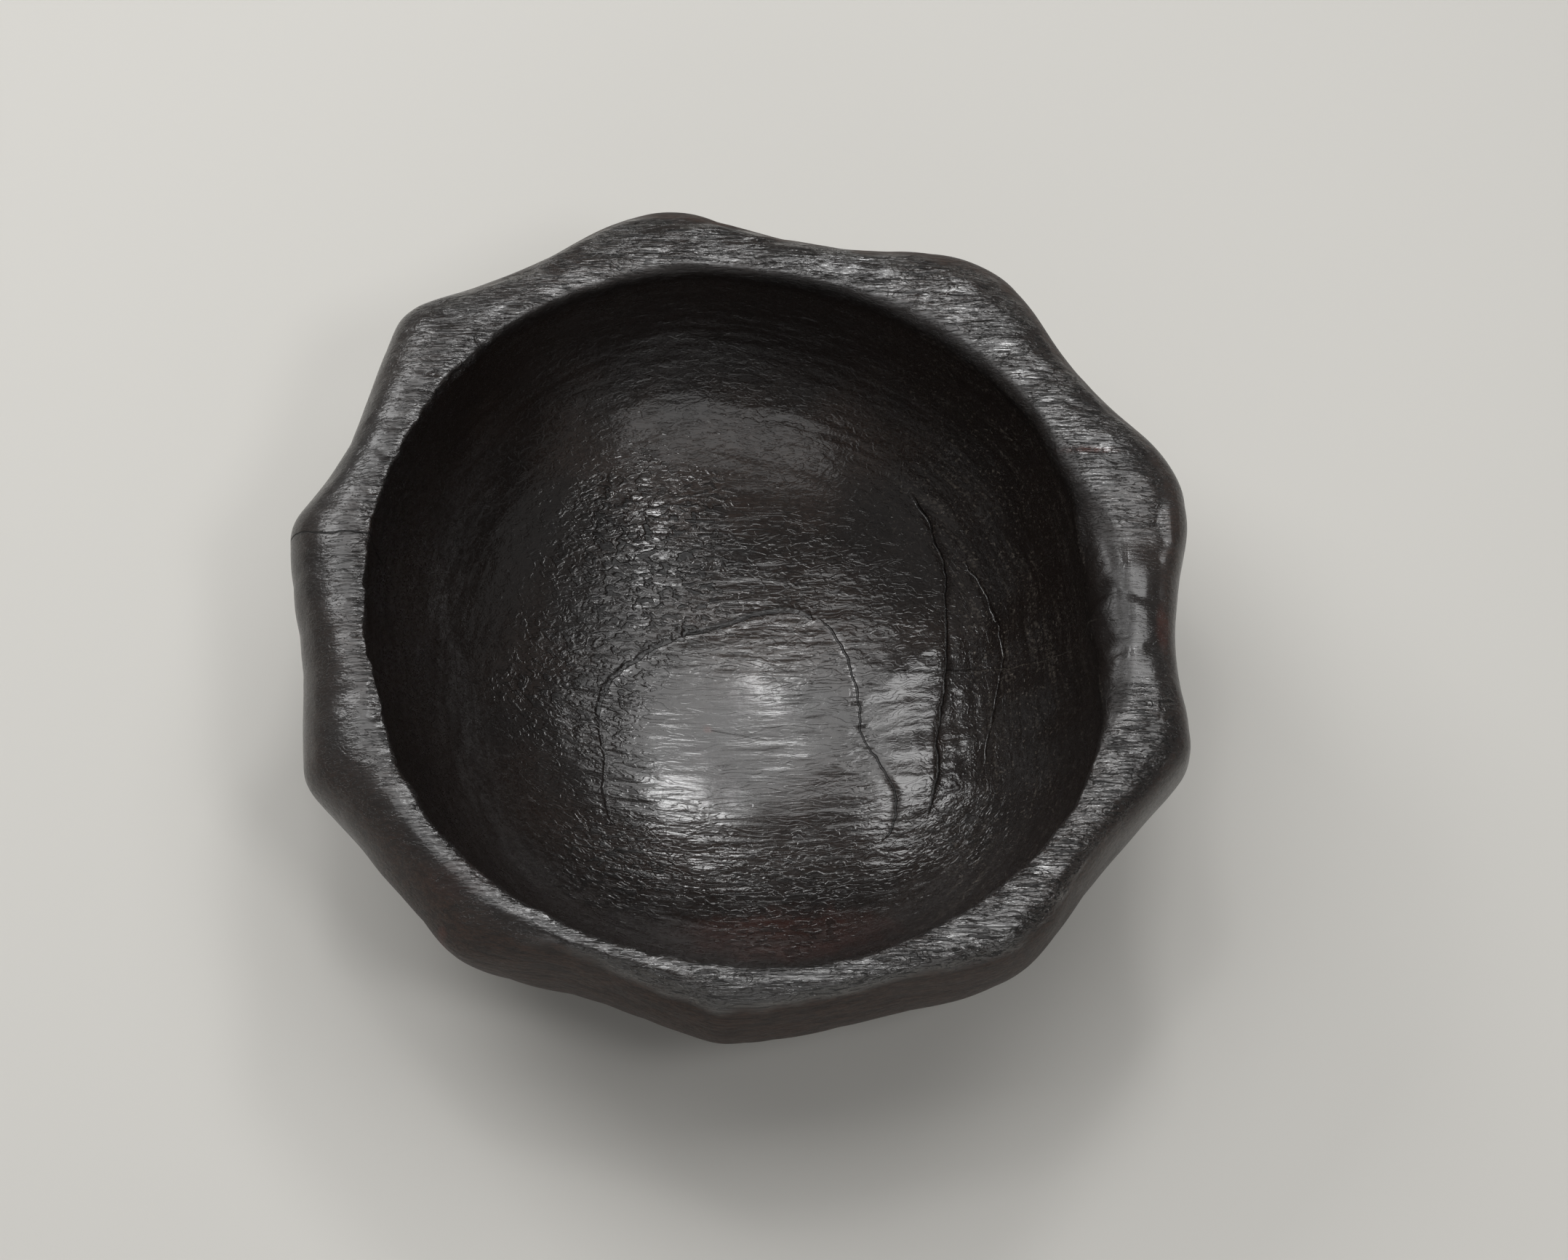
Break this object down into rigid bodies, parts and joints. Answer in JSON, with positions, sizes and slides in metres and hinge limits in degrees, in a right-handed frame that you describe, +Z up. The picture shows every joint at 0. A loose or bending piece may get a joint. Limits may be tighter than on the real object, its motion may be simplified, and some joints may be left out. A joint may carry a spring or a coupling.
{
  "type": "carved wooden bowl",
  "caption": "Deep round bowl carved from solid blackened wood, with an uneven scalloped rim, a knife-textured lip and a flat foot; holds food or small things.",
  "frame": {"origin": "middle of the bowl's outline, on the surface that the foot stands on", "axes": "+Z up out of the mouth, +X along the wood's grain, -Y towards the side that the picture shows nearest"},
  "size_m": [0.2526, 0.247, 0.097],
  "materials": {
    "blackened_wood": "blackened dense hardwood, knife cut and waxed to a satin gloss, open grain"
  },
  "bodies": {
    "root": {"bowl": "blackened_wood"}
  },
  "joints": []
}
